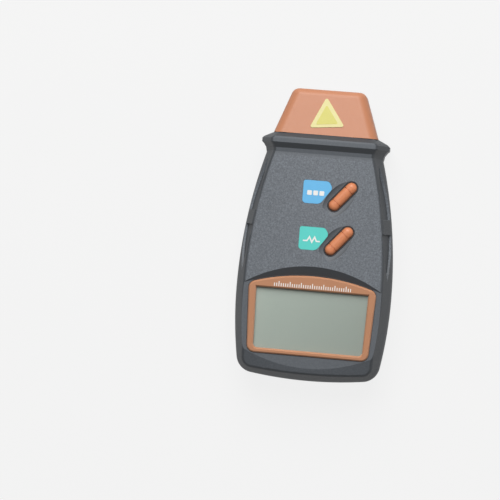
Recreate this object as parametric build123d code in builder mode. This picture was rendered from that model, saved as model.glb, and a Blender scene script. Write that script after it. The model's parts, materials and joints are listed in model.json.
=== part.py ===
"""Handheld digital photo tachometer, lying on its back.

+X is to the right as seen from the front, +Y runs toward the nose and +Z
points out of the display. The origin is under the middle of the case, on
the surface that the back rests on. All sizes are in millimetres.
"""

import os
from math import cos, radians, sin, sqrt, tan

from build123d import *

# Whole instrument
overall_length = 131.0
overall_width = 70.0

# Case outline seen from the front
widest_above_heel = 39.5
neck_narrowing = 8.71
lower_side_radius = 186.0
heel_bulge = 2.7
heel_corner_radius = 8.0

# Case section
wall = 2.0
split_height = 13.0
flank_height = 17.5
flank_angle = 24.0
flank_blend_radius = 9.0
back_draft = 4.0
back_edge_radius = 3.0
face_edge_radius = 1.8
crown_radius = 226.0
neck_face_above_facet = 0.7
face_rise_angle = 1.5
chin_angle = 16.0
chin_below_display = 5.4
lip_height = 1.2
lip_thickness = 0.9
fit_clearance = 0.1
edge_match = 0.01
parting_chamfer = 0.25

# Collar behind the nose, from its front face back to the neck
nose_length = 20.4
collar_slope_length = 2.0
collar_land_length = 2.9
collar_under_length = 2.0
collar_cove_length = 2.2
collar_overhang = 2.36
collar_rise = 1.9
collar_cove_rise = 0.45
collar_shoulder_radius = 2.0
collar_face_lean = 12.0
collar_face_margin = 0.3
collar_round_length = 0.8
collar_round_drop = 0.5
collar_round_side = 0.9

# Nose cap
nose_inset = 2.99
nose_narrowing = 14.3
nose_base_low = 1.2
nose_base_high = 25.5
nose_tip_low = 4.0
nose_tip_high = 21.5
nose_edge_radius = 4.5
nose_tip_radius = 3.6
nose_wall = 1.8
nose_skirt_length = 4.0
nose_skirt_wall = 1.2
marker_width = 15.7
marker_height = 13.9
marker_above_base = 3.6
marker_turn = 5.5
marker_corner_radius = 0.8
marker_thickness = 0.25

# Optics behind the nose
window_width = 22.0
window_height = 9.0
window_corner_radius = 2.2
window_thickness = 1.2
window_recess = 0.4
window_ledge = 1.0
optics_height = 12.7
holder_width = 28.0
holder_height = 13.4
holder_length = 18.0
holder_corner_radius = 1.2
holder_flange_width = 34.0
holder_flange_height = 15.5
holder_flange_thickness = 1.5
holder_setback = 5.6
cradle_wall = 1.3
laser_offset = 8.0
laser_radius = 3.2
laser_length = 12.0
laser_reach = 1.0
laser_bore_radius = 1.3
laser_edge_chamfer = 0.4
laser_lens_radius = 2.2
laser_lens_thickness = 1.4
laser_lens_edge_radius = 0.5
receiver_offset = 5.5
receiver_lens_radius = 5.2
receiver_lens_edge = 1.6
receiver_lens_bulge = 1.4
photodiode_radius = 2.5
photodiode_length = 6.0
photodiode_flange = 0.5
photodiode_dome_radius = 2.2

# Display
display_above_heel = 11.7
bezel_height_top = 35.9
bezel_arch_radius = 88.0
bezel_side_margin = 6.4
bezel_narrowing = 3.0
bezel_corner_radius = 3.5
bezel_rise = 0.8
bezel_depth = 0.8
bezel_bevel = 0.6
bezel_gap = 0.25
facet_wall = 1.6
facet_gap = 0.4
facet_slope_angle = 27.0
view_above_bezel = 2.2
view_below_arch = 6.5
view_side_margin = 3.5
view_narrowing = 1.4
view_corner_radius = 1.8
view_margin = 0.5
display_window_thickness = 0.8
lcd_side_lap = 0.8
lcd_end_lap = 1.25
lcd_thickness = 1.8
lcd_frame_wall = 0.8
lcd_frame_drop = 0.5
strip_width = 2.2
strip_inset = 0.6
strip_height = 0.9

# Buttons, each a capsule on a slanted axis
button_length = 15.8
button_width = 5.0
button_angle = 49.5
button_offset = 10.1
buttons_below_middle = 0.55
button_pitch = 19.8
button_proud = 1.0
button_gap = 0.65
button_travel = 0.5
button_edge_radius = 2.2
button_flange = 1.1
button_flange_thickness = 0.8
button_web = 1.5
ring_groove_spacing = 7.6
ring_groove_width = 0.4
ring_groove_depth = 0.3
dish_length = 19.4
dish_width = 10.6
dish_depth = 1.0
switch_width = 6.0
switch_height = 2.0
plunger_radius = 1.7
plunger_rise = 0.6
plunger_depth = 1.0
stem_radius = 2.4
switch_chamfer = 0.4

# Labels beside the buttons
label_left = 17.8
label_width = 11.2
label_tip = 13.1
label_top = 6.3
label_bottom = 4.0
label_tip_above = 3.4
label_foot = 8.0
label_left_radius = 1.0
label_right_radius = 1.7
test_label_drop = 0.9
label_depth = 0.2
label_proud = 0.1

# Grip recesses in the flanks
grip_depth = 0.9
grip_land = 6.5
grip_land_below_buttons = 2.05
grip_below_neck = 2.3
grip_lower_length = 21.0
grip_low = 18.6
grip_high = 26.0

# Main board and what it carries
board_thickness = 1.2
board_clearance = 0.6
board_rest_gap = 0.1
chip_width = 12.0
chip_thickness = 1.8
chip_chamfer = 0.4
crystal_length = 11.0
crystal_width = 4.6
crystal_height = 3.6
crystal_edge_radius = 0.6
capacitor_radius = 2.6
capacitor_length = 7.0
capacitor_edge_radius = 0.4
capacitor_pitch = 7.8
chip_x = -12.0
chip_below_buttons = 2.1
crystal_x = -12.0
crystal_below_buttons = 14.5
capacitor_x = 3.0
capacitor_below_buttons = 0.5

# Battery, its snap and its bay
battery_length = 46.4
battery_height = 26.5
battery_depth = 17.5
battery_corner_radius = 2.6
battery_rim_radius = 0.8
battery_clearance = 0.3
terminal_spacing = 12.7
terminal_rise = 2.2
stud_radius = 2.9
socket_radius = 4.4
socket_wall = 0.7
snap_length = 22.0
snap_width = 11.0
snap_thickness = 4.0
snap_gap = 0.2
snap_edge_radius = 1.0
bay_above_heel = 9.8
snap_end_room = 2.0
bay_wall = 1.2
bay_roof = 1.0

# Battery cover
cover_thickness = 1.9
cover_gap = 0.2
cover_lap = 1.6
cover_lip_margin = 1.4
cover_lip_height = 8.0
tongue_width = 1.0
tongue_thickness = 0.8
tongue_lift = 1.1
tongue_end_gap = 2.0
thumb_rib_above_bay = 6.0
thumb_rib_count = 5
thumb_rib_pitch = 2.4
thumb_rib_width = 1.2
thumb_rib_depth = 0.6
thumb_rib_length = 22.0
arrow_width = 9.0
arrow_height = 5.0

# Screws
case_screw_upper_x = 17.0
case_screw_below_neck = 5.5
case_screw_from_side = 8.2
case_screw_above_bezel = 1.9
screw_head_radius = 2.4
screw_head_height = 1.8
screw_head_edge_radius = 0.6
screw_slot_length = 2.8
screw_slot_width = 0.7
screw_slot_depth = 1.1
screw_head_depth = 5.0
screw_shank_radius = 1.2
screw_shank_length = 14.0
screw_clearance = 0.3
screw_boss_wall = 1.5
pillar_radius = 3.0
board_screw_from_side = 12.5
board_screw_below_buttons = 1.5
board_screw_head_radius = 1.8
board_screw_head_height = 1.2
board_screw_shank_radius = 0.9
board_screw_length = 3.2

# Leads
lead_diameter = 1.3
lead_spacing = 2.0
lead_gate_width = 3.0
lead_end_gap = 0.35
lead_bend_share = 0.45

# Places that follow from the sizes above
tip_y = overall_length / 2
heel_y = -overall_length / 2
widest_y = heel_y + widest_above_heel
half_width = overall_width / 2
collar_face_y = tip_y - nose_length
collar_land_y = collar_face_y - collar_slope_length
collar_lip_y = collar_land_y - collar_land_length
collar_under_y = collar_lip_y - collar_under_length
neck_y = collar_under_y - collar_cove_length
case_end_y = collar_land_y
upper_side_radius = ((neck_y - widest_y) ** 2 + neck_narrowing**2) / (2 * neck_narrowing)
display_y = heel_y + display_above_heel
bezel_top_y = display_y + bezel_height_top
arch_centre_y = bezel_top_y - bezel_arch_radius
neck_width = overall_width - 2 * neck_narrowing
collar_width = neck_width + 2 * collar_overhang
nose_base_width = neck_width - 2 * nose_inset
nose_tip_width = nose_base_width - nose_narrowing
bezel_width_top = overall_width - 2 * bezel_side_margin
bezel_width_bottom = bezel_width_top - bezel_narrowing
view_width_top = bezel_width_top - 2 * view_side_margin
view_width_bottom = view_width_top - view_narrowing
view_bottom_y = display_y + view_above_bezel
view_top_y = bezel_top_y - view_below_arch
button_middle_y = (bezel_top_y + neck_y) / 2 - buttons_below_middle
test_button_y = button_middle_y - button_pitch / 2
mem_button_y = button_middle_y + button_pitch / 2
button_rows = [(mem_button_y, mem_button_y), (test_button_y, test_button_y - test_label_drop)]
grip_lower_start = button_middle_y - grip_land_below_buttons - grip_land / 2
grip_upper_start = grip_lower_start + grip_land
grip_upper_length = neck_y - grip_below_neck - grip_upper_start
lcd_width = view_width_top + 2 * lcd_side_lap
lcd_height = view_top_y - view_bottom_y + 2 * lcd_end_lap
lcd_centre_y = (view_bottom_y + view_top_y) / 2
bay_low_y = heel_y + bay_above_heel
bay_high_y = bay_low_y + battery_height + 2 * battery_clearance
bay_centre_y = (bay_low_y + bay_high_y) / 2
bay_width = battery_length + 2 * battery_clearance + snap_gap + snap_thickness + snap_end_room
battery_low = cover_thickness + battery_clearance / 2
battery_left = -bay_width / 2 + battery_clearance
bay_ceiling = battery_low + battery_depth + battery_clearance / 2
bay_top = bay_ceiling + bay_roof
board_bottom = bay_top + board_rest_gap
board_top = board_bottom + board_thickness
lcd_bottom = board_top + strip_height
lcd_top = lcd_bottom + lcd_thickness
facet_ceiling = lcd_top + fit_clearance
facet_height = facet_ceiling + facet_wall
neck_face_height = facet_height + neck_face_above_facet
overall_height = neck_face_height + collar_rise
cover_top_y = bay_high_y + cover_lap
cover_width = bay_width
cover_lip_width = bay_width + 2 * cover_lip_margin
lip_inner_y = bay_low_y - bay_wall
case_screw_lower_x = half_width - case_screw_from_side
case_screw_upper_y = neck_y - case_screw_below_neck
case_screw_lower_y = bezel_top_y + case_screw_above_bezel
case_screw_places = [
    (side * x, y)
    for side in (-1, 1)
    for x, y in ((case_screw_upper_x, case_screw_upper_y), (case_screw_lower_x, case_screw_lower_y))
]
board_screw_x = half_width - board_screw_from_side
board_screw_y = button_middle_y - board_screw_below_buttons
board_screw_places = [(-board_screw_x, board_screw_y), (board_screw_x, board_screw_y)]
seat_height = split_height + fit_clearance
holder_flange_y = collar_face_y - holder_setback - holder_flange_thickness / 2
holder_flange_low = optics_height - holder_flange_height / 2
holder_front_y = holder_flange_y + holder_flange_thickness / 2 + holder_length
laser_front_y = holder_front_y + laser_reach
photodiode_front_to_lens = holder_length / 2
thumb_rib_y = bay_low_y + thumb_rib_above_bay
arrow_side = sqrt((arrow_width / 2) ** 2 + arrow_height**2)
marker_side = sqrt((marker_width / 2) ** 2 + marker_height**2)
lead_gate_x = battery_left + battery_length + snap_gap + snap_thickness / 2


def side_x(y):
    """Half-width of the case outline at a place along its length."""
    radius = upper_side_radius if y > widest_y else lower_side_radius
    return half_width - radius + sqrt(radius**2 - (y - widest_y) ** 2)


def face_height(x, y):
    """Height of the crowned front face."""
    ridge = neck_face_height + (neck_y - y) * tan(radians(face_rise_angle))
    return ridge - crown_radius + sqrt(crown_radius**2 - x**2)


def case_outline(inset=0.0):
    """Outline of the case seen from the front, moved in by the inset."""
    heel_corner_y = heel_y + heel_bulge
    heel_corner = (side_x(heel_corner_y), heel_corner_y)
    upper_corner = (side_x(case_end_y), case_end_y)
    with BuildSketch() as outline:
        with BuildLine():
            TangentArc((half_width, widest_y), upper_corner, tangent=(0, 1))
            TangentArc((half_width, widest_y), heel_corner, tangent=(0, -1))
            mirror(about=Plane.YZ)
            ThreePointArc(heel_corner, (0, heel_y), (-heel_corner[0], heel_corner_y))
            Line(upper_corner, (-upper_corner[0], case_end_y))
        make_face()
        fillet(outline.vertices().group_by(Axis.Y)[0], heel_corner_radius)
        if inset:
            offset(amount=-inset, kind=Kind.INTERSECTION)
    return outline.sketch


def crown_body(y, height, angle, inset):
    """Long round body whose upper side is the crowned face, tilted by an angle."""
    along = (0, -cos(radians(angle)), sin(radians(angle)))
    with BuildPart() as crown:
        with BuildSketch(Plane(origin=(0, y, height), x_dir=(1, 0, 0), z_dir=along)):
            with Locations((0, -crown_radius)):
                Circle(crown_radius - inset)
        extrude(amount=2 * overall_length, both=True)
    return crown.part


def flank_body(inset):
    """Sides of the front half without its crown: upright, then sloping in."""
    slope_start = flank_height - inset * tan(radians(flank_angle / 2))
    with BuildPart() as flanks:
        with BuildSketch(Plane.XY.offset(split_height)):
            add(case_outline(inset))
        extrude(amount=slope_start - split_height)
        with BuildSketch(Plane.XY.offset(slope_start)):
            add(case_outline(inset))
        extrude(amount=overall_height - slope_start, taper=flank_angle)
    return flanks.part


def front_form(inset=0.0):
    """Solid form of the front half of the case."""
    chin_y = display_y - chin_below_display
    with BuildPart() as form:
        add(flank_body(inset))
        add(crown_body(neck_y, neck_face_height, face_rise_angle, inset), mode=Mode.INTERSECT)
        add(crown_body(chin_y, facet_height, -chin_angle, inset), mode=Mode.INTERSECT)
    return form.part


def facet_cutter(height, reach):
    """Round cutter whose flat underside makes the display facet and whose rim makes its step."""
    rise = overall_height - height
    radius = bezel_arch_radius + reach
    with BuildPart() as cutter:
        with Locations((0, arch_centre_y, height)):
            Cone(
                radius,
                radius + rise / tan(radians(facet_slope_angle)),
                rise,
                align=(Align.CENTER, Align.CENTER, Align.MIN),
            )
    return cutter.part


def front_cavity():
    """Room inside the front half, lower under the display facet."""
    with BuildPart() as cavity:
        add(front_form(wall))
        add(facet_cutter(facet_ceiling, facet_gap + facet_wall), mode=Mode.SUBTRACT)
    return cavity.part


def back_form(inset=0.0):
    """Solid form of the back half of the case, from the parting plane down."""
    with BuildPart() as form:
        extrude(
            case_outline(inset).moved(Pos(0, 0, split_height)),
            amount=split_height - inset,
            dir=(0, 0, -1),
            taper=back_draft,
        )
        fillet(form.faces().sort_by(Axis.Z)[0].edges(), back_edge_radius - inset)
    return form.part


def collar_section(y, width, low, high, lean=flank_angle):
    """Section of the collar across the case, with shoulders that lean in like the flanks."""
    side = width / 2
    shoulder = side - (high - flank_height) * tan(radians(lean))
    shoulder_high = high - crown_radius + sqrt(crown_radius**2 - shoulder**2)
    with BuildSketch(Plane(origin=(0, y, 0), x_dir=(1, 0, 0), z_dir=(0, -1, 0))) as section:
        with BuildLine():
            Polyline((0, low), (side, low), (side, flank_height), (shoulder, shoulder_high))
            mirror(about=Plane.YZ)
            ThreePointArc((shoulder, shoulder_high), (0, high), (-shoulder, shoulder_high))
        make_face()
        fillet(section.vertices().group_by(Axis.Y)[0], back_edge_radius)
        fillet(section.vertices().group_by(Axis.Y)[-1], collar_shoulder_radius)
    return section.sketch


def collar_form():
    """Collar between neck and nose: a cove, a lip, a land and a slope to the nose."""
    root_width = neck_width - 2 * fit_clearance
    root_high = neck_face_height - fit_clearance
    round_width = collar_width - 2 * collar_round_side
    round_high = overall_height - collar_round_drop
    sections = [
        collar_section(neck_y, root_width, 0, root_high),
        collar_section(collar_under_y, root_width + 2 * collar_cove_rise, 0, root_high + collar_cove_rise),
        collar_section(collar_lip_y - collar_round_length / 2, round_width, 0, round_high),
        collar_section(collar_lip_y + collar_round_length / 2, collar_width, 0, overall_height),
        collar_section(collar_land_y - collar_round_length, collar_width, 0, overall_height),
        collar_section(collar_land_y, round_width, 0, overall_height - fit_clearance),
        collar_section(
            collar_face_y,
            nose_base_width + 2 * collar_face_margin,
            nose_base_low - collar_face_margin,
            nose_base_high + collar_face_margin,
            collar_face_lean,
        ),
    ]
    with BuildPart() as collar:
        loft(sections, ruled=True)
    return collar.part


def nose_section(y, inset=0.0):
    """Section of the nose cap, which narrows from its base to its tip."""
    share = (y - collar_face_y) / nose_length
    width = nose_base_width + (nose_tip_width - nose_base_width) * share - 2 * inset
    low = nose_base_low + (nose_tip_low - nose_base_low) * share + inset
    high = nose_base_high + (nose_tip_high - nose_base_high) * share - inset
    with BuildSketch(Plane(origin=(0, y, 0), x_dir=(1, 0, 0), z_dir=(0, -1, 0))) as section:
        with Locations((0, (low + high) / 2)):
            RectangleRounded(width, high - low, nose_edge_radius - inset)
    return section.sketch


def optics_plane(x, y):
    """Plane across the case at the height of the optics, facing the nose."""
    return Plane(origin=(x, y, optics_height), x_dir=(1, 0, 0), z_dir=(0, 1, 0))


def nose_throat(inset, length):
    """Straight passage of the nose's base section, back into the collar."""
    with BuildPart() as throat:
        extrude(nose_section(collar_face_y, inset), amount=length, dir=(0, -1, 0))
    return throat.part


def view_outline(grow=0.0):
    """Outline of the display's clear view, a little narrower at the bottom."""
    half_top = view_width_top / 2
    half_bottom = view_width_bottom / 2
    with BuildSketch() as outline:
        with BuildLine():
            Polyline(
                (-half_bottom, view_bottom_y),
                (half_bottom, view_bottom_y),
                (half_top, view_top_y),
                (-half_top, view_top_y),
                close=True,
            )
        make_face()
        fillet(outline.vertices().group_by(Axis.Y)[0], view_corner_radius)
        if grow:
            offset(amount=grow, kind=Kind.INTERSECTION)
    return outline.sketch


def bezel_outline(grow=0.0):
    """Outline of the display bezel with its arched top."""
    half_top = bezel_width_top / 2
    half_bottom = bezel_width_bottom / 2
    shoulder_y = arch_centre_y + sqrt(bezel_arch_radius**2 - half_top**2)
    with BuildSketch() as outline:
        with BuildLine():
            ThreePointArc((-half_top, shoulder_y), (0, bezel_top_y), (half_top, shoulder_y))
            Line((half_top, shoulder_y), (half_bottom, display_y))
            Line((half_bottom, display_y), (-half_bottom, display_y))
            Line((-half_bottom, display_y), (-half_top, shoulder_y))
        make_face()
        fillet(outline.vertices(), bezel_corner_radius)
        if grow:
            offset(amount=grow)
    return outline.sketch


def capsule(y, grow=0.0):
    """Outline of a button, a capsule on a slanted axis."""
    with BuildSketch() as outline:
        with Locations((button_offset, y)):
            SlotOverall(button_length + 2 * grow, button_width + 2 * grow, rotation=button_angle)
    return outline.sketch


def button_seat(y):
    """Height of the flat seat inside the face that stops a button's flange."""
    return face_height(button_offset, y) - button_web


def dish_cutter(y):
    """Lens-shaped cutter that leaves a shallow oval dish around a button."""
    slant = radians(button_angle)
    axis_rise = ((dish_width / 2) ** 2 - dish_depth**2) / (2 * dish_depth)
    end = dish_length / 2
    along = Plane(
        origin=(button_offset, y, face_height(button_offset, y)),
        x_dir=(cos(slant), sin(slant), 0),
        z_dir=(sin(slant), -cos(slant), 0),
    )
    with BuildPart() as cutter:
        with BuildSketch(along):
            with BuildLine():
                ThreePointArc((-end, 0), (0, -dish_depth), (end, 0))
                Polyline((end, 0), (end, axis_rise), (-end, axis_rise), (-end, 0))
            make_face()
        revolve(axis=Axis((along * Pos(0, axis_rise, 0)).position, along.x_dir))
    return cutter.part


def label_prism(y, grow=0.0):
    """Column over a label's outline, whose slanted edge runs beside its button."""
    left = button_offset - label_left
    with BuildPart() as prism:
        with BuildSketch(Plane.XY.offset(flank_height)):
            with BuildLine():
                Polyline(
                    (left, y - label_bottom),
                    (left + label_foot, y - label_bottom),
                    (left + label_tip, y + label_tip_above),
                    (left + label_width, y + label_top),
                    (left, y + label_top),
                    close=True,
                )
            make_face()
            fillet(vertices().group_by(Axis.X)[0], label_left_radius)
            fillet(vertices().sort_by(Axis.X)[-3:], label_right_radius)
            if grow:
                offset(amount=grow)
        extrude(amount=overall_height - flank_height)
    return prism.part


def face_body(inset):
    """Everything below the crowned face, moved in by the inset."""
    return crown_body(neck_y, neck_face_height, face_rise_angle, inset)


def grip_cutter(start, length):
    """Shallow finger recess in both flanks: square at its start, thinning out at its end."""
    with BuildPart() as cutter:
        with BuildSketch(Plane.YZ) as leaf:
            with BuildLine():
                Line((start, grip_low), (start, grip_high))
                end = (start + length, (grip_low + grip_high) / 2)
                TangentArc((start, grip_high), end, tangent=(length, 0))
                TangentArc((start, grip_low), end, tangent=(length, 0))
            make_face()
        extrude(amount=half_width, both=True)
        add(flank_body(grip_depth), mode=Mode.SUBTRACT)
    return cutter.part


def cover_block(gap=0.0):
    """Plate and heel lip of the battery cover, still as a plain block."""
    plate_width = cover_width + 2 * gap - 2 * fit_clearance
    with BuildPart() as block:
        with BuildSketch():
            with Locations((0, cover_top_y + gap)):
                Rectangle(plate_width, cover_top_y + gap - heel_y + wall, align=(Align.CENTER, Align.MAX))
        extrude(amount=cover_thickness + gap)
        with BuildSketch():
            with Locations((0, lip_inner_y - fit_clearance + gap)):
                Rectangle(
                    cover_lip_width + 2 * gap,
                    lip_inner_y - fit_clearance + gap - heel_y + wall,
                    align=(Align.CENTER, Align.MAX),
                )
        extrude(amount=cover_lip_height + gap)
    return block.part


# Front half of the case
with BuildPart() as front_collar:
    add(collar_form())
    split(bisect_by=Plane.XY.offset(split_height), keep=Keep.TOP)

with BuildPart() as front_shell:
    add(front_form())
    flank_creases = front_shell.edges().filter_by(
        lambda e: abs(e.center().Z - flank_height) < edge_match and e.center().Y < case_end_y - edge_match
    )
    fillet(flank_creases, flank_blend_radius)
    parting_edges = front_shell.edges().filter_by(
        lambda e: abs(e.center().Z - split_height) < edge_match and e.center().Y < case_end_y - edge_match
    )
    chamfer(parting_edges, parting_chamfer)
    face_rims = front_shell.edges().filter_by(
        lambda e: e.center().Z > (flank_height + facet_height) / 2 and e.center().Y < neck_y
    )
    fillet(
        face_rims.filter_by(lambda e: abs(e.center().X) > wall or e.center().Y < display_y),
        face_edge_radius,
    )
    add(front_collar.part)
    add(facet_cutter(facet_height, facet_gap), mode=Mode.SUBTRACT)
    add(grip_cutter(grip_upper_start, grip_upper_length), mode=Mode.SUBTRACT)
    add(grip_cutter(grip_lower_start, -grip_lower_length), mode=Mode.SUBTRACT)
    add(front_cavity(), mode=Mode.SUBTRACT)
    add(nose_throat(nose_wall - fit_clearance, collar_face_y - neck_y), mode=Mode.SUBTRACT)

    # Groove for the back half's lip
    with BuildSketch(Plane.XY.offset(split_height)):
        add(case_outline(wall - lip_thickness))
    extrude(amount=lip_height + fit_clearance, mode=Mode.SUBTRACT)

    # Pillars for the case screws and bosses for the board screws
    with BuildSketch(Plane.XY.offset(seat_height)):
        with Locations(*case_screw_places):
            Circle(pillar_radius)
    extrude(until=Until.NEXT)
    with BuildSketch(Plane.XY.offset(board_top)):
        with Locations(*board_screw_places):
            Circle(board_screw_shank_radius + screw_boss_wall)
    extrude(until=Until.NEXT)
    with BuildSketch(Plane.XY.offset(split_height)):
        with Locations(*case_screw_places):
            Circle(screw_shank_radius + fit_clearance / 2)
    extrude(amount=screw_head_depth + screw_shank_length + fit_clearance - split_height, mode=Mode.SUBTRACT)
    with BuildSketch(Plane.XY.offset(board_top)):
        with Locations(*board_screw_places):
            Circle(board_screw_shank_radius + fit_clearance / 2)
    extrude(amount=board_screw_length + fit_clearance - board_thickness, mode=Mode.SUBTRACT)

    # Rebate for the bezel and opening for the display
    with BuildSketch(Plane.XY.offset(facet_height - bezel_depth)):
        add(bezel_outline(bezel_gap))
    extrude(amount=overall_height - facet_height, mode=Mode.SUBTRACT)
    with BuildSketch(Plane.XY.offset(facet_ceiling)):
        add(view_outline(view_margin))
    extrude(amount=overall_height - facet_height, mode=Mode.SUBTRACT)

    # Dish, slot and flange seat of each button, and the hollow for its label
    for button_y, label_y in button_rows:
        add(dish_cutter(button_y), mode=Mode.SUBTRACT)
        with BuildSketch(Plane.XY.offset(flank_height)):
            add(capsule(button_y, button_gap))
        extrude(amount=overall_height - flank_height, mode=Mode.SUBTRACT)
        with BuildSketch(Plane.XY.offset(button_seat(button_y))):
            add(capsule(button_y, button_flange + button_gap))
        extrude(amount=flank_height - button_seat(button_y), mode=Mode.SUBTRACT)
        with BuildPart(mode=Mode.PRIVATE) as label_hollow:
            add(label_prism(label_y, fit_clearance / 2))
            add(face_body(label_depth), mode=Mode.SUBTRACT)
        add(label_hollow.part, mode=Mode.SUBTRACT)

# Back half of the case
with BuildPart() as back_collar:
    add(collar_form())
    split(bisect_by=Plane.XY.offset(split_height), keep=Keep.BOTTOM)

with BuildPart() as back_room:
    add(back_form(wall))
    with BuildSketch(Plane.XY.offset(split_height)):
        add(case_outline(wall))
    extrude(amount=lip_height)

with BuildPart() as battery_bay:
    with BuildSketch(Plane.XY.offset(wall / 2)):
        with Locations((0, bay_centre_y)):
            RectangleRounded(
                bay_width + 2 * bay_wall,
                bay_high_y - bay_low_y + 2 * bay_wall,
                battery_corner_radius,
            )
    extrude(amount=bay_top - wall / 2)

with BuildPart() as rear_shell:
    add(back_form())
    parting_edges = rear_shell.edges().filter_by(
        lambda e: abs(e.center().Z - split_height) < edge_match and e.center().Y < case_end_y - edge_match
    )
    chamfer(parting_edges, parting_chamfer)
    add(back_collar.part)
    with BuildSketch(Plane.XY.offset(split_height)):
        add(case_outline(wall - lip_thickness + fit_clearance))
    extrude(amount=lip_height)
    add(back_room.part, mode=Mode.SUBTRACT)
    add(nose_throat(nose_wall - fit_clearance, collar_face_y - neck_y), mode=Mode.SUBTRACT)

    # Battery bay, open at the back, with a gate for the leads
    add(battery_bay.part)
    with BuildSketch():
        with Locations((0, bay_centre_y)):
            RectangleRounded(bay_width, bay_high_y - bay_low_y, battery_corner_radius - bay_wall)
    extrude(amount=bay_ceiling, mode=Mode.SUBTRACT)
    with BuildSketch(Plane.XZ.offset(-bay_high_y)):
        with Locations((lead_gate_x, battery_low + battery_depth / 2)):
            SlotCenterToCenter(lead_spacing, lead_gate_width, rotation=90)
    extrude(amount=-bay_wall, mode=Mode.SUBTRACT)

    # Cradle that holds the flange of the sensor holder
    with BuildSketch(Plane.XY.offset(wall / 2)):
        with Locations((0, holder_flange_y)):
            Rectangle(holder_width, holder_flange_thickness + 2 * (cradle_wall + fit_clearance))
    extrude(amount=optics_height - holder_height / 2 - wall / 2)
    with BuildSketch(Plane.XY.offset(holder_flange_low)):
        with Locations((0, holder_flange_y)):
            Rectangle(half_width, holder_flange_thickness + 2 * fit_clearance)
    extrude(amount=split_height - holder_flange_low, mode=Mode.SUBTRACT)

    # Bosses for the case screws, counterbored from the back
    with BuildSketch(Plane.XY.offset(wall / 2)):
        with Locations(*case_screw_places):
            Circle(screw_head_radius + screw_clearance + screw_boss_wall)
    extrude(amount=split_height - wall / 2)
    with Locations(Plane(origin=(0, 0, 0), x_dir=(1, 0, 0), z_dir=(0, 0, -1))):
        with Locations(*[(x, -y) for x, y in case_screw_places]):
            CounterBoreHole(
                screw_shank_radius + screw_clearance / 2,
                screw_head_radius + screw_clearance,
                screw_head_depth,
                split_height,
            )

    # Opening and grooves for the battery cover
    add(cover_block(cover_gap), mode=Mode.SUBTRACT)
    with BuildSketch(Plane.XY.offset(tongue_lift - fit_clearance)):
        with Locations((0, bay_high_y - tongue_end_gap + cover_gap)):
            Rectangle(
                cover_width + 2 * (tongue_width + fit_clearance),
                bay_high_y - heel_y,
                align=(Align.CENTER, Align.MAX),
            )
    extrude(amount=tongue_thickness + 2 * fit_clearance, mode=Mode.SUBTRACT)

# Battery cover: plate, heel lip, tongues, thumb ribs and an arrow
with BuildPart() as cover_room:
    add(back_form(wall))
    with BuildSketch(Plane.XY):
        Rectangle(overall_length, overall_length)
    extrude(amount=cover_thickness, mode=Mode.SUBTRACT)

with BuildPart() as battery_cover:
    add(cover_block())
    add(back_form(), mode=Mode.INTERSECT)
    add(cover_room.part, mode=Mode.SUBTRACT)
    with BuildSketch(Plane.XY.offset(tongue_lift)):
        with Locations((0, bay_high_y - tongue_end_gap)):
            Rectangle(
                cover_width + 2 * tongue_width,
                bay_high_y - bay_low_y - 2 * tongue_end_gap,
                align=(Align.CENTER, Align.MAX),
            )
    extrude(amount=tongue_thickness)
    with BuildSketch():
        with Locations((0, thumb_rib_y)):
            with GridLocations(0, thumb_rib_pitch, 1, thumb_rib_count):
                SlotOverall(thumb_rib_length, thumb_rib_width)
        with Locations((0, thumb_rib_y + thumb_rib_count * thumb_rib_pitch)):
            Triangle(a=arrow_width, b=arrow_side, c=arrow_side, rotation=180)
    extrude(amount=thumb_rib_depth, mode=Mode.SUBTRACT)

# Nose cap with the window opening in its tip
window_back_y = tip_y - window_recess - window_thickness
with BuildPart() as nose_room:
    loft(
        [
            nose_section(collar_face_y, nose_wall + nose_skirt_wall),
            nose_section(window_back_y - window_ledge, nose_wall),
        ],
        ruled=True,
    )

with BuildPart() as nose_cap:
    loft([nose_section(collar_face_y), nose_section(tip_y)], ruled=True)
    fillet(nose_cap.faces().sort_by(Axis.Y)[-1].edges(), nose_tip_radius)
    add(nose_throat(nose_wall, nose_skirt_length))
    add(nose_throat(nose_wall + nose_skirt_wall, nose_skirt_length), mode=Mode.SUBTRACT)
    add(nose_room.part, mode=Mode.SUBTRACT)
    with BuildSketch(Plane.XZ.offset(-tip_y)):
        with Locations((0, optics_height)):
            RectangleRounded(
                window_width + 2 * fit_clearance,
                window_height + 2 * fit_clearance,
                window_corner_radius + fit_clearance,
            )
    extrude(amount=window_recess + window_thickness, mode=Mode.SUBTRACT)
    with BuildSketch(Plane.XZ.offset(-tip_y)):
        with Locations((0, optics_height)):
            RectangleRounded(
                window_width - 2 * window_ledge,
                window_height - 2 * window_ledge,
                window_corner_radius - window_ledge,
            )
    extrude(amount=nose_length / 2, mode=Mode.SUBTRACT)

with BuildPart() as nose_window:
    with BuildSketch(Plane.XZ.offset(-window_back_y)):
        with Locations((0, optics_height)):
            RectangleRounded(window_width, window_height, window_corner_radius)
    extrude(amount=-window_thickness)

# Plain triangle on the sloping front of the nose cap
nose_slope = Plane(
    origin=(0, collar_face_y, nose_base_high),
    x_dir=(1, 0, 0),
    z_dir=(0, nose_base_high - nose_tip_high, nose_length),
)
with BuildPart() as nose_marker:
    with BuildSketch(nose_slope):
        with Locations((0, marker_above_base + marker_height / 3)):
            Triangle(a=marker_width, b=marker_side, c=marker_side, rotation=marker_turn)
        fillet(vertices(), marker_corner_radius)
    extrude(amount=marker_thickness)

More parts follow.
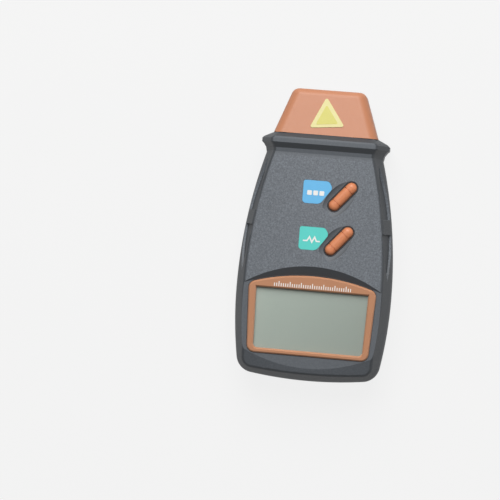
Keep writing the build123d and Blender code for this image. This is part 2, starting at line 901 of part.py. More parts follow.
# Optics: holder, laser and receiver
with BuildPart() as sensor_holder:
    with BuildSketch(Plane.XZ.offset(-holder_flange_y - holder_flange_thickness / 2)):
        with Locations((0, optics_height)):
            RectangleRounded(holder_width, holder_height, holder_corner_radius)
    extrude(amount=-holder_length)
    fillet(sensor_holder.faces().sort_by(Axis.Y)[-1].edges(), holder_corner_radius / 2)
    with BuildSketch(Plane.XZ.offset(-holder_flange_y - holder_flange_thickness / 2)):
        with Locations((0, optics_height)):
            Rectangle(holder_flange_width, holder_flange_height)
    extrude(amount=holder_flange_thickness)
    with Locations(optics_plane(0, holder_front_y)):
        with Locations((-laser_offset, 0)):
            Hole(laser_radius + fit_clearance / 2)
        with Locations((receiver_offset, 0)):
            Hole(photodiode_radius + fit_clearance / 2)
            Hole(receiver_lens_radius - window_ledge, photodiode_front_to_lens)
            Hole(receiver_lens_radius + fit_clearance / 2, receiver_lens_edge)

with BuildPart() as laser_barrel:
    with Locations(optics_plane(-laser_offset, laser_front_y)):
        Cylinder(laser_radius, laser_length, align=(Align.CENTER, Align.CENTER, Align.MAX))
        Hole(laser_bore_radius, laser_length / 2)
        Hole(laser_lens_radius + fit_clearance / 2, laser_lens_thickness)
    front_rims = laser_barrel.faces().sort_by(Axis.Y)[-1].edges()
    chamfer(front_rims.sort_by(SortBy.LENGTH)[-1], laser_edge_chamfer)

with BuildPart() as laser_lens:
    with Locations(optics_plane(-laser_offset, laser_front_y)):
        Cylinder(laser_lens_radius, laser_lens_thickness, align=(Align.CENTER, Align.CENTER, Align.MAX))
    fillet(laser_lens.faces().sort_by(Axis.Y)[-1].edges(), laser_lens_edge_radius)

with BuildPart() as receiver_lens:
    with BuildSketch(Plane(origin=(receiver_offset, holder_front_y, optics_height))):
        with BuildLine():
            Polyline(
                (0, receiver_lens_bulge),
                (0, -receiver_lens_edge),
                (receiver_lens_radius, -receiver_lens_edge),
                (receiver_lens_radius, 0),
            )
            TangentArc((0, receiver_lens_bulge), (receiver_lens_radius, 0), tangent=(1, 0))
        make_face()
    revolve(axis=Axis((receiver_offset, holder_front_y, optics_height), (0, 1, 0)))

photodiode_back_y = holder_flange_y - holder_flange_thickness / 2
with BuildPart() as photodiode:
    with Locations(optics_plane(receiver_offset, photodiode_back_y)):
        Cylinder(photodiode_radius, photodiode_length, align=(Align.CENTER, Align.CENTER, Align.MIN))
        fillet(photodiode.faces().sort_by(Axis.Y)[-1].edges(), photodiode_dome_radius)
        Cylinder(
            photodiode_radius + photodiode_flange,
            photodiode_flange,
            align=(Align.CENTER, Align.CENTER, Align.MAX),
        )

# Display stack
with BuildPart() as display_bezel:
    with BuildSketch(Plane.XY.offset(facet_height - bezel_depth)):
        add(bezel_outline())
        add(view_outline(), mode=Mode.SUBTRACT)
    extrude(amount=bezel_depth + bezel_rise)
    chamfer(display_bezel.faces().sort_by(Axis.Z)[-1].edges(), bezel_bevel)

with BuildPart() as display_window:
    with BuildSketch(Plane.XY.offset(facet_height - bezel_depth)):
        add(view_outline(view_margin - fit_clearance))
    extrude(amount=-display_window_thickness)

with BuildPart() as lcd_glass:
    with BuildSketch(Plane.XY.offset(lcd_bottom)):
        with Locations((0, lcd_centre_y)):
            Rectangle(lcd_width, lcd_height)
    extrude(amount=lcd_thickness)
    chamfer(lcd_glass.edges().filter_by(Axis.Z), fit_clearance)

with BuildPart() as lcd_frame:
    with BuildSketch(Plane.XY.offset(board_top)):
        with Locations((0, lcd_centre_y)):
            Rectangle(
                lcd_width + 2 * (lcd_frame_wall + fit_clearance),
                lcd_height + 2 * (lcd_frame_wall + fit_clearance),
            )
            Rectangle(lcd_width + 2 * fit_clearance, lcd_height + 2 * fit_clearance, mode=Mode.SUBTRACT)
    extrude(amount=lcd_top - board_top - lcd_frame_drop)
    with BuildSketch(Plane.XY.offset(board_top)):
        with Locations((0, lcd_centre_y)):
            Rectangle(lcd_width + 2 * fit_clearance, lcd_height + 2 * fit_clearance)
            Rectangle(lcd_width - 2 * strip_width, lcd_height - 4 * strip_width, mode=Mode.SUBTRACT)
            with GridLocations(0, lcd_height - strip_width - strip_inset, 1, 2):
                Rectangle(lcd_width - 2 * strip_width, strip_width + 2 * fit_clearance, mode=Mode.SUBTRACT)
    extrude(amount=strip_height - fit_clearance)

with BuildPart() as contact_strips:
    with BuildSketch(Plane.XY.offset(board_top)):
        with Locations((0, lcd_centre_y)):
            with GridLocations(0, lcd_height - strip_width - strip_inset, 1, 2):
                Rectangle(lcd_width - 2 * strip_width - 2 * fit_clearance, strip_width)
    extrude(amount=strip_height)


def button_cap(y, inset=0.0):
    """Rounded capsule of a button above its flange."""
    flange_top = button_seat(y) - fit_clearance
    with BuildPart() as cap:
        with BuildSketch(Plane.XY.offset(flange_top - button_flange_thickness)):
            add(capsule(y, -inset))
        cap_height = face_height(button_offset, y) + button_proud - inset - flange_top
        extrude(amount=cap_height + button_flange_thickness)
        fillet(cap.faces().sort_by(Axis.Z)[-1].edges(), button_edge_radius)
    return cap.part


def ring_grooves(y):
    """Two fine rings that run over a button near its ends."""
    slant = radians(button_angle)
    with BuildPart() as rings:
        for side in (-1, 1):
            reach = side * ring_groove_spacing / 2
            centre = (button_offset + reach * cos(slant), y + reach * sin(slant))
            with BuildSketch(Plane.XY.offset(button_seat(y) + fit_clearance)):
                with Locations(centre):
                    Rectangle(ring_groove_width, button_width, rotation=button_angle)
            extrude(amount=overall_height - button_seat(y))
        add(button_cap(y, ring_groove_depth), mode=Mode.SUBTRACT)
    return rings.part


def make_button(y):
    """Button with its rounded cap, retaining flange and the stem that meets its switch."""
    flange_top = button_seat(y) - fit_clearance
    stem_bottom = board_top + switch_height + plunger_rise
    with BuildPart() as button:
        add(button_cap(y))
        add(ring_grooves(y), mode=Mode.SUBTRACT)
        with BuildSketch(Plane.XY.offset(flange_top)):
            add(capsule(y, button_flange))
        extrude(amount=-button_flange_thickness)
        with BuildSketch(Plane.XY.offset(stem_bottom)):
            with Locations((button_offset, y)):
                Circle(stem_radius)
        extrude(amount=flange_top - stem_bottom)
    return button.part


def make_switch(y):
    """Low push switch on the board, bored for its plunger."""
    with BuildPart() as switch:
        with BuildSketch(Plane.XY.offset(board_top)):
            with Locations((button_offset, y)):
                Rectangle(switch_width, switch_width)
        extrude(amount=switch_height)
        chamfer(switch.edges().filter_by(Axis.Z), switch_chamfer)
        with BuildSketch(Plane.XY.offset(board_top + switch_height)):
            with Locations((button_offset, y)):
                Circle(plunger_radius + fit_clearance)
        extrude(amount=-plunger_depth - button_travel - fit_clearance, mode=Mode.SUBTRACT)
    return switch.part


def make_plunger(y):
    """Round plunger of a switch, which moves with the button above it."""
    with BuildPart() as plunger:
        with BuildSketch(Plane.XY.offset(board_top + switch_height - plunger_depth)):
            with Locations((button_offset, y)):
                Circle(plunger_radius)
        extrude(amount=plunger_depth + plunger_rise)
    return plunger.part


def make_label(y):
    """Thin coloured label set into the face beside its button."""
    with BuildPart() as label:
        add(label_prism(y))
        add(face_body(-label_proud), mode=Mode.INTERSECT)
        add(face_body(label_depth), mode=Mode.SUBTRACT)
    return label.part


# Main board, notched round the pillars, and what is soldered to it
board_inset = wall + (board_top - flank_height) * tan(radians(flank_angle)) + board_clearance
with BuildPart() as main_board:
    with BuildSketch(Plane.XY.offset(board_bottom)):
        add(case_outline(board_inset))
        with Locations(*case_screw_places):
            Circle(pillar_radius + board_clearance, mode=Mode.SUBTRACT)
        with Locations(*board_screw_places):
            Circle(board_screw_shank_radius + fit_clearance, mode=Mode.SUBTRACT)
    extrude(amount=board_thickness)

with BuildPart() as controller_chip:
    with BuildSketch(Plane.XY.offset(board_bottom)):
        with Locations((chip_x, button_middle_y - chip_below_buttons)):
            Rectangle(chip_width, chip_width)
    extrude(amount=-chip_thickness)
    chamfer(controller_chip.faces().sort_by(Axis.Z)[0].edges(), chip_chamfer)

with BuildPart() as crystal:
    with BuildSketch(Plane.XY.offset(board_bottom)):
        with Locations((crystal_x, button_middle_y - crystal_below_buttons)):
            SlotOverall(crystal_length, crystal_width)
    extrude(amount=-crystal_height)
    fillet(crystal.faces().sort_by(Axis.Z)[0].edges(), crystal_edge_radius)

with BuildPart() as capacitors:
    with Locations(Plane.XY.offset(board_bottom)):
        with Locations((capacitor_x, button_middle_y - capacitor_below_buttons)):
            with GridLocations(capacitor_pitch, 0, 2, 1):
                Cylinder(capacitor_radius, capacitor_length, align=(Align.CENTER, Align.CENTER, Align.MAX))
    fillet(capacitors.faces().filter_by(Plane.XY).sort_by(Axis.Z)[:2].edges(), capacitor_edge_radius)

# Battery with its stud and socket, and the snap that clips on
battery_middle = battery_low + battery_depth / 2
terminal_plane = Plane(
    origin=(battery_left + battery_length, bay_centre_y, battery_middle),
    x_dir=(0, 1, 0),
    z_dir=(1, 0, 0),
)
with BuildPart() as battery:
    with BuildSketch(Plane.YZ.offset(battery_left)):
        with Locations((bay_centre_y, battery_middle)):
            RectangleRounded(battery_height, battery_depth, battery_corner_radius)
    extrude(amount=battery_length)
    fillet(battery.faces().sort_by(Axis.X)[0].edges(), battery_rim_radius)
    fillet(battery.faces().sort_by(Axis.X)[-1].edges(), battery_rim_radius)
    with BuildSketch(terminal_plane):
        with Locations((-terminal_spacing / 2, 0)):
            Circle(stud_radius)
        with Locations((terminal_spacing / 2, 0)):
            RegularPolygon(socket_radius, 6)
            Circle(socket_radius - socket_wall, mode=Mode.SUBTRACT)
    extrude(amount=terminal_rise)

with BuildPart() as battery_snap:
    with BuildSketch(terminal_plane.offset(snap_gap)):
        SlotOverall(snap_length, snap_width)
    extrude(amount=snap_thickness)
    fillet(battery_snap.faces().sort_by(Axis.X)[-1].edges(), snap_edge_radius)
    with BuildSketch(terminal_plane.offset(snap_gap)):
        with Locations((-terminal_spacing / 2, 0)):
            Circle(stud_radius + snap_gap)
        with Locations((terminal_spacing / 2, 0)):
            RegularPolygon(socket_radius + snap_gap, 6)
    extrude(amount=terminal_rise, mode=Mode.SUBTRACT)

# Screws
with BuildPart() as case_screws:
    with Locations(*[(x, y, screw_head_depth) for x, y in case_screw_places]):
        Cylinder(screw_head_radius, screw_head_height, align=(Align.CENTER, Align.CENTER, Align.MAX))
        Cylinder(screw_shank_radius, screw_shank_length, align=(Align.CENTER, Align.CENTER, Align.MIN))
    fillet(
        case_screws.edges().filter_by(GeomType.CIRCLE).group_by(Axis.Z)[0],
        screw_head_edge_radius,
    )
    with BuildSketch(Plane.XY.offset(screw_head_depth - screw_head_height)):
        with Locations(*case_screw_places):
            Rectangle(screw_slot_length, screw_slot_width)
            Rectangle(screw_slot_width, screw_slot_length)
    extrude(amount=screw_slot_depth, mode=Mode.SUBTRACT)

with BuildPart() as board_screws:
    with Locations(*[(x, y, board_bottom) for x, y in board_screw_places]):
        Cylinder(
            board_screw_head_radius,
            board_screw_head_height,
            align=(Align.CENTER, Align.CENTER, Align.MAX),
        )
        Cylinder(
            board_screw_shank_radius,
            board_screw_length,
            align=(Align.CENTER, Align.CENTER, Align.MIN),
        )


def make_lead(points):
    """Lead along straight runs joined by arcs as large as the runs allow."""
    places = [Vector(*point) for point in points]
    radii = []
    for before, corner, after in zip(places, places[1:], places[2:]):
        turn = (corner - before).get_angle(after - corner)
        run = min((corner - before).length, (after - corner).length)
        radii.append(lead_bend_share * run / tan(radians(turn / 2)))
    with BuildPart() as lead:
        with BuildLine() as route:
            FilletPolyline(*places, radius=radii)
        with BuildSketch(Plane(origin=places[0], z_dir=places[1] - places[0])):
            Circle(lead_diameter / 2)
        sweep()
    print("lead length", round(route.wire().length, 1), "radii", [round(radius, 1) for radius in radii])
    return lead.part


snap_end_y = bay_centre_y + snap_length / 2
laser_back_y = laser_front_y - laser_length
lead_step = lead_spacing / 2
lead_end_height = board_bottom - lead_end_gap
battery_lead_red = make_lead(
    [
        (lead_gate_x, snap_end_y, battery_middle - lead_step),
        (lead_gate_x, -24.5, battery_middle - lead_step),
        (19.4, -17.0, 13.6),
        (18.2, -12.4, lead_end_height),
    ]
)
battery_lead_black = make_lead(
    [
        (lead_gate_x, snap_end_y, battery_middle + lead_step),
        (lead_gate_x, -25.0, battery_middle + lead_step),
        (17.2, -18.8, 14.6),
        (15.6, -14.6, lead_end_height),
    ]
)
laser_lead_red = make_lead(
    [
        (-laser_offset - lead_step, laser_back_y, optics_height),
        (-laser_offset - lead_step, 40.2, optics_height),
        (-9.6, 32.6, 14.6),
        (-10.0, 29.2, lead_end_height),
    ]
)
laser_lead_black = make_lead(
    [
        (-laser_offset + lead_step, laser_back_y, optics_height),
        (-laser_offset + lead_step, 40.0, optics_height),
        (-6.2, 32.2, 14.4),
        (-5.4, 28.6, lead_end_height),
    ]
)

pieces = {
    "front_shell": front_shell.part,
    "rear_shell": rear_shell.part,
    "battery_cover": battery_cover.part,
    "nose_cap": nose_cap.part,
    "nose_window": nose_window.part,
    "nose_marker": nose_marker.part,
    "sensor_holder": sensor_holder.part,
    "laser_barrel": laser_barrel.part,
    "laser_lens": laser_lens.part,
    "receiver_lens": receiver_lens.part,
    "photodiode": photodiode.part,
    "display_bezel": display_bezel.part,
    "display_window": display_window.part,
    "lcd_glass": lcd_glass.part,
    "lcd_frame": lcd_frame.part,
    "contact_strips": contact_strips.part,
    "main_board": main_board.part,
    "controller_chip": controller_chip.part,
    "crystal": crystal.part,
    "capacitors": capacitors.part,
    "battery": battery.part,
    "battery_snap": battery_snap.part,
    "case_screws": case_screws.part,
    "board_screws": board_screws.part,
    "battery_lead_red": battery_lead_red,
    "battery_lead_black": battery_lead_black,
    "laser_lead_red": laser_lead_red,
    "laser_lead_black": laser_lead_black,
}
for name, (button_y, label_y) in zip(("mem", "test"), button_rows):
    pieces[f"{name}_button"] = make_button(button_y)
    pieces[f"{name}_switch"] = make_switch(button_y)
    pieces[f"{name}_plunger"] = make_plunger(button_y)
    pieces[f"{name}_label"] = make_label(label_y)

os.makedirs("parts", exist_ok=True)
for name, piece in pieces.items():
    piece.label = name
    export_step(piece, f"parts/{name}.step")
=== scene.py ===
"""Looks of a handheld digital photo tachometer that lies on its back on a pale table.

The instrument's sizes are in millimetres and are turned into metres by MM; those
of the surroundings are in metres where a comment says so. X is to the right as
seen from the front, Y runs toward the nose and Z points up.
"""

import json
from math import cos, radians, sin

import bmesh
import bpy
from mathutils import Matrix, Vector
from mathutils.geometry import convex_hull_2d


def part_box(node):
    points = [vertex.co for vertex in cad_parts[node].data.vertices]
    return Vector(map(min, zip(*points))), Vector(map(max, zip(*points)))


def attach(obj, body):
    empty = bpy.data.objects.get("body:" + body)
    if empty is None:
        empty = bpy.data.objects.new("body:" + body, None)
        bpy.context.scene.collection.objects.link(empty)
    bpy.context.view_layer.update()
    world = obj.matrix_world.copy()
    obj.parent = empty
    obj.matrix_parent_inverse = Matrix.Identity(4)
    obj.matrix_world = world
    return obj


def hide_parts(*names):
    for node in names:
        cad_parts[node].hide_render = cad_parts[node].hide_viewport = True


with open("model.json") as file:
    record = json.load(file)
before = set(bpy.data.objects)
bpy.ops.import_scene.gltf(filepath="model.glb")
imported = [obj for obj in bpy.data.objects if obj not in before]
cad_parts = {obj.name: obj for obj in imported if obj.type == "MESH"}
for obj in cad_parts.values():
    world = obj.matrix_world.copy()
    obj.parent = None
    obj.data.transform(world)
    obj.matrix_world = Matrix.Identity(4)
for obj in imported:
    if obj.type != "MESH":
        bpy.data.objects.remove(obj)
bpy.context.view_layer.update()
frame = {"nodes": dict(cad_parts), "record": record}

MM = 0.001
SENSOR_WIDTH = 36.0
PICTURE_SIZE = 500


# Measures taken from the frame

RAY_FROM_ABOVE = 10.0


def surface_height(carrier, x, y):
    """Height of a node's upper surface over a point, in millimetres."""
    node = frame["nodes"][carrier]
    top = node.bound_box[6][2] + RAY_FROM_ABOVE * MM
    hit, place, _, _ = node.ray_cast(Vector((x * MM, y * MM, top)), Vector((0, 0, -1)))
    if not hit:
        raise ValueError(f"{carrier} has no surface over {x}, {y}")
    return place.z / MM


BELOW_BEZEL = 2.0
bezel_low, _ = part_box("display_bezel")
facet_height = surface_height("front_shell", 0.0, bezel_low.y / MM - BELOW_BEZEL)


# Colours

def srgb(red, green, blue):
    """Linear colour of an 8-bit screen colour."""
    def linear(value):
        share = value / 255
        return share / 12.92 if share <= 0.04045 else ((share + 0.055) / 1.055) ** 2.4
    return (linear(red), linear(green), linear(blue), 1.0)


def shade(colour, factor):
    """The same colour, lighter or darker."""
    return tuple(min(1.0, value * factor) for value in colour[:3]) + (1.0,)


GREY = srgb(100, 105, 111)
CAP_ORANGE = srgb(188, 125, 91)
TRIM_ORANGE = srgb(186, 132, 98)
KEY_ORANGE = srgb(212, 132, 90)
PURE_WHITE = (1.0, 1.0, 1.0, 1.0)
WHITE_PRINT = srgb(240, 238, 234)
YELLOW_PRINT = srgb(200, 192, 86)
YELLOW_FILM = srgb(212, 203, 134)
BLUE_FILM = srgb(104, 184, 232)
GREEN_FILM = srgb(92, 210, 200)
# Ends of the painted light and shade across the display
DISPLAY_PAINTED_LIGHT = srgb(218, 226, 220)
DISPLAY_PAINTED_SHADE = srgb(96, 102, 92)
DISPLAY_CLOUD = srgb(150, 166, 162)
DISPLAY_SPECK = srgb(132, 142, 130)
PANE_TINT = srgb(253, 254, 253)
PANE_SATIN = srgb(196, 206, 197)
DARK_RED_TINT = (0.6, 0.12, 0.1, 1.0)
LENS_TINT = (0.9, 0.94, 0.98, 1.0)
BRASS = (0.62, 0.45, 0.18, 1.0)
TIN_PLATE = (0.62, 0.62, 0.62, 1.0)
ZINC_PLATE = (0.5, 0.5, 0.52, 1.0)
JACKET_BLACK = srgb(38, 40, 44), srgb(48, 50, 55)
JACKET_COPPER = srgb(176, 112, 62), srgb(192, 126, 74)
TERMINAL_PLATE = srgb(186, 188, 190)
BOARD_MASK = srgb(24, 96, 52), srgb(20, 84, 46)
BOARD_TRACK = srgb(52, 138, 78)


# Materials

ACRYLIC_INDEX = 1.49
COATED_INDEX = 1.33
SATIN_SHARE = 0.35
MOULDED_EDGE = 0.15
BEVEL_SAMPLES = 4


def feed(tree, socket, value):
    """Give an input its value, which may be the output of another node."""
    if isinstance(value, bpy.types.NodeSocket):
        tree.links.new(value, socket)
    else:
        socket.default_value = value


def fill(tree, node, **values):
    """Feed a node's inputs by name, where an underscore stands for a space."""
    for name, value in values.items():
        feed(tree, node.inputs[name.replace("_", " ")], value)


def add_node(tree, kind, **values):
    """New node with some of its inputs filled."""
    node = tree.nodes.new(kind)
    fill(tree, node, **values)
    return node


def new_material(name):
    """Material with its node tree and its Principled shader."""
    material = bpy.data.materials.new(name)
    material.use_nodes = True
    tree = material.node_tree
    return material, tree, tree.nodes["Principled BSDF"]


def show(tree, surface):
    """Make a shader the surface of its material."""
    feed(tree, tree.nodes["Material Output"].inputs["Surface"], surface)


def millimetres(tree):
    """Object coordinates measured in millimetres."""
    place = tree.nodes.new("ShaderNodeTexCoord")
    scaled = add_node(tree, "ShaderNodeMapping", Vector=place.outputs["Object"], Scale=[1 / MM] * 3)
    return scaled.outputs["Vector"]


def axes(tree, vector):
    """The X, Y and Z of a vector, by name."""
    return add_node(tree, "ShaderNodeSeparateXYZ", Vector=vector).outputs


def noise(tree, vector, scale, detail=2.0, rough=0.5):
    """Noise value with so many features to a millimetre."""
    node = add_node(tree, "ShaderNodeTexNoise", Vector=vector, Scale=scale, Detail=detail, Roughness=rough)
    return node.outputs["Fac"]


def between(tree, value, low, high, from_low=0.3, from_high=0.7):
    """Value carried from one range to another, without going past its ends.

    The range to start from is the one that noise mostly keeps to, unless another is given.
    """
    ends = {"From_Min": from_low, "From_Max": from_high, "To_Min": low, "To_Max": high}
    return add_node(tree, "ShaderNodeMapRange", Value=value, **ends).outputs["Result"]


def math(tree, operation, first, second):
    """Sum, product or other mix of two values, either of which may be a number."""
    node = tree.nodes.new("ShaderNodeMath")
    node.operation = operation
    feed(tree, node.inputs[0], first)
    feed(tree, node.inputs[1], second)
    return node.outputs["Value"]


def mixed(tree, share, first, second):
    """Colour between two colours, either of which may be a socket."""
    node = tree.nodes.new("ShaderNodeMix")
    node.data_type = "RGBA"
    colours = [socket for socket in node.inputs if socket.type == "RGBA"]
    feed(tree, node.inputs["Factor"], share)
    feed(tree, colours[0], first)
    feed(tree, colours[1], second)
    return [socket for socket in node.outputs if socket.type == "RGBA"][0]


def blended(tree, share, first, second):
    """Shader between two shaders."""
    node = tree.nodes.new("ShaderNodeMixShader")
    for socket, value in zip(node.inputs, (share, first, second)):
        feed(tree, socket, value)
    return node.outputs["Shader"]


def softened(tree, radius):
    """Normal that makes sharp edges look rounded."""
    bevel = add_node(tree, "ShaderNodeBevel", Radius=radius * MM)
    bevel.samples = BEVEL_SAMPLES
    return bevel.outputs["Normal"]


def bumped(tree, shader, height, depth, edge_radius=0.0):
    """Fine relief on the shader's normal, over slightly rounded edges."""
    bump = add_node(tree, "ShaderNodeBump", Height=height, Strength=1.0, Distance=depth * MM)
    if edge_radius:
        fill(tree, bump, Normal=softened(tree, edge_radius))
    fill(tree, shader, Normal=bump.outputs["Normal"])


# Width of a paler edge, partly wear and partly painted highlight, and how alike the two normals are there
# and on an open face
WEAR_AND_HIGHLIGHT_WIDTH = 0.35
WEAR_AND_HIGHLIGHT_LIKENESS = 0.86, 0.99


def worn_and_highlit_edges(tree, base, paler, share):
    """Base colour that turns paler along sharp outer edges: partly wear, partly a painted highlight."""
    plain = tree.nodes.new("ShaderNodeNewGeometry")
    likeness = tree.nodes.new("ShaderNodeVectorMath")
    likeness.operation = "DOT_PRODUCT"
    feed(tree, likeness.inputs[0], softened(tree, WEAR_AND_HIGHLIGHT_WIDTH))
    feed(tree, likeness.inputs[1], plain.outputs["Normal"])
    edge = between(tree, likeness.outputs["Value"], 1.0, 0.0, *WEAR_AND_HIGHLIGHT_LIKENESS)
    return mixed(tree, math(tree, "MULTIPLY", edge, share), base, paler)


def moulded(name, colour, roughness, mottle=0.05, grain=3.0, depth=0.004, wear_and_highlight=0.25):
    """Moulded plastic: faint clouding, a fine grain and edges that are a little paler, partly from wear and
    partly as painted highlight.
    """
    material, tree, shader = new_material(name)
    place = millimetres(tree)
    clouds = noise(tree, place, scale=0.12, detail=3.0)
    base = mixed(tree, clouds, shade(colour, 1 - mottle), shade(colour, 1 + mottle))
    # Paler edges: partly wear, partly painted highlight
    base = worn_and_highlit_edges(tree, base, shade(colour, 1.6), wear_and_highlight)
    fine = noise(tree, place, scale=grain, detail=3.0, rough=0.6)
    fill(tree, shader, Base_Color=base, Roughness=between(tree, fine, roughness - 0.06, roughness + 0.06))
    bumped(tree, shader, fine, depth, MOULDED_EDGE)
    return material


# A case face comes to count as broad or as the facet over these ranges of levelness, where 1 is level
BROAD_FLATNESS = 0.93, 0.99
LEVEL_FLATNESS = 0.9997, 0.9999

# Distance from the facet's height over which it ends, and place where the collar begins
FACET_REACH = 0.05, 0.1
COLLAR_FROM_Y = 35.5
COLLAR_BLEND = 1.0

# How much of the texture and of the painted shade each of these places has
FLANK_TEXTURE = 0.3
COLLAR_TEXTURE, COLLAR_PAINTED_SHADE = 0.3, 0.4
FACET_TEXTURE, FACET_PAINTED_SHADE = 0.5, 0.4


def case_texture_and_shade(tree, place):
    """Shares of texture and of painted shade over the case: the painted shade darkens the steep flanks, the
    collar and the level facet.
    """
    apart = axes(tree, place)
    facing = tree.nodes.new("ShaderNodeNewGeometry")
    flatness = math(tree, "ABSOLUTE", axes(tree, facing.outputs["True Normal"])["Z"], 0.0)
    broad = between(tree, flatness, 0.0, 1.0, *BROAD_FLATNESS)
    collar_range = COLLAR_FROM_Y - COLLAR_BLEND, COLLAR_FROM_Y + COLLAR_BLEND
    collar = between(tree, apart["Y"], 0.0, 1.0, *collar_range)
    off_level = math(tree, "ABSOLUTE", math(tree, "SUBTRACT", apart["Z"], facet_height), 0.0)
    at_facet_height = between(tree, off_level, 1.0, 0.0, *FACET_REACH)
    facet = math(tree, "MULTIPLY", at_facet_height, between(tree, flatness, 0.0, 1.0, *LEVEL_FLATNESS))

    textured = between(tree, broad, FLANK_TEXTURE, 1.0, 0.0, 1.0)
    textured = math(tree, "MULTIPLY", textured, between(tree, collar, 1.0, COLLAR_TEXTURE, 0.0, 1.0))
    textured = math(tree, "MULTIPLY", textured, between(tree, facet, 1.0, FACET_TEXTURE, 0.0, 1.0))
    # Painted shade: steep faces such as the flanks come out darker, as if less light fell on them
    painted_shade = math(tree, "SUBTRACT", 1.0, broad)
    painted_shade = math(tree, "MAXIMUM", painted_shade, math(tree, "MULTIPLY", collar, COLLAR_PAINTED_SHADE))
    painted_shade = math(tree, "MAXIMUM", painted_shade, math(tree, "MULTIPLY", facet, FACET_PAINTED_SHADE))
    return textured, painted_shade


COARSE_SHARE = 0.6
GRAIN_RANGE = 0.38, 0.62
GRAIN_DEPTH = 0.07
SPECKLE_SHARE = 0.6
SPECKLE_LIGHT, SPECKLE_DARK = 1.75, 0.5
# How dark the painted shade on the flanks, the collar and the facet makes the grey
PAINTED_SHADE_FACTOR = 0.36


def spark_grained(name, colour, roughness, mottle=0.06, wear_and_highlight=0.25):
    """Case plastic: spark-eroded grain on broad faces, and a smoother finish elsewhere.

    Painted shade darkens the flanks, the collar beside the nose and the level facet round the display.
    """
    material, tree, shader = new_material(name)
    place = millimetres(tree)
    textured, painted_shade = case_texture_and_shade(tree, place)
    coarse = math(tree, "MULTIPLY", noise(tree, place, scale=1.3, detail=3.0, rough=0.7), COARSE_SHARE)
    fine = math(tree, "MULTIPLY", noise(tree, place, scale=3.4, rough=0.6), 1 - COARSE_SHARE)
    grain = math(tree, "ADD", coarse, fine)
    speckle = math(tree, "MULTIPLY", between(tree, grain, -1.0, 1.0, *GRAIN_RANGE), textured)
    light = math(tree, "MAXIMUM", speckle, 0.0)
    dark = math(tree, "MAXIMUM", math(tree, "MULTIPLY", speckle, -1.0), 0.0)
    clouds = noise(tree, place, scale=0.07)
    base = mixed(tree, clouds, shade(colour, 1 - mottle), shade(colour, 1 + mottle))
    base = mixed(tree, math(tree, "MULTIPLY", light, SPECKLE_SHARE), base, shade(colour, SPECKLE_LIGHT))
    base = mixed(tree, math(tree, "MULTIPLY", dark, SPECKLE_SHARE), base, shade(colour, SPECKLE_DARK))
    # Painted shade: the flanks, the collar and the level facet are darkened
    base = mixed(tree, painted_shade, base, shade(colour, PAINTED_SHADE_FACTOR))
    # Paler edges: partly wear, partly painted highlight
    base = worn_and_highlit_edges(tree, base, shade(colour, 1.7), wear_and_highlight)
    fill(tree, shader, Base_Color=base, Roughness=between(tree, grain, roughness - 0.08, roughness + 0.08))
    bumped(tree, shader, math(tree, "MULTIPLY", grain, textured), GRAIN_DEPTH, MOULDED_EDGE)
    return material


def metal(name, colour, roughness, brushed=(0.4, 6.0, 6.0)):
    """Plated or turned metal with fine marks drawn out along one axis."""
    material, tree, shader = new_material(name)
    drawn_out = add_node(tree, "ShaderNodeMapping", Vector=millimetres(tree), Scale=brushed)
    marks = noise(tree, drawn_out.outputs["Vector"], scale=1.0, detail=4.0, rough=0.6)
    base = mixed(tree, marks, shade(colour, 0.85), shade(colour, 1.1))
    gloss = between(tree, marks, roughness - 0.08, roughness + 0.1)
    fill(tree, shader, Base_Color=base, Metallic=1.0, Roughness=gloss)
    bumped(tree, shader, marks, depth=0.004, edge_radius=0.1)
    return material


def clear_pane(name, tint, roughness, index, satin=0.0, satin_colour=PURE_WHITE):
    """Thin clear pane: what lies behind it shows through its satin and under the gloss of its surface."""
    material, tree, shader = new_material(name)
    tree.nodes.remove(shader)
    body = add_node(tree, "ShaderNodeBsdfTransparent", Color=tint).outputs["BSDF"]
    if satin:
        veil = add_node(tree, "ShaderNodeBsdfDiffuse", Color=satin_colour)
        body = blended(tree, satin, body, veil.outputs["BSDF"])
    haze = between(tree, noise(tree, millimetres(tree), scale=0.4), roughness, roughness + 0.05)
    gloss = add_node(tree, "ShaderNodeBsdfAnisotropic", Color=PURE_WHITE, Roughness=haze)
    mirror = add_node(tree, "ShaderNodeFresnel", IOR=index)
    facing = tree.nodes.new("ShaderNodeNewGeometry")
    outside = math(tree, "SUBTRACT", 1.0, facing.outputs["Backfacing"])
    share = math(tree, "MULTIPLY", mirror.outputs["Fac"], outside)
    show(tree, blended(tree, share, body, gloss.outputs["BSDF"]))
    return material


def clear_lens(name, tint):
    """Clear glass that lets the lamps through to what lies behind it."""
    material, tree, shader = new_material(name)
    haze = between(tree, noise(tree, millimetres(tree), scale=0.4), 0.0, 0.03)
    fill(tree, shader, Base_Color=tint, Transmission_Weight=1.0, IOR=ACRYLIC_INDEX, Roughness=haze)
    shadow = tree.nodes.new("ShaderNodeLightPath").outputs["Is Shadow Ray"]
    through = add_node(tree, "ShaderNodeBsdfTransparent", Color=tint)
    show(tree, blended(tree, shadow, shader.outputs["BSDF"], through.outputs["BSDF"]))
    return material


# Share of the display's painted light and shade that runs across it
PAINTED_LIGHT_ACROSS = 0.65


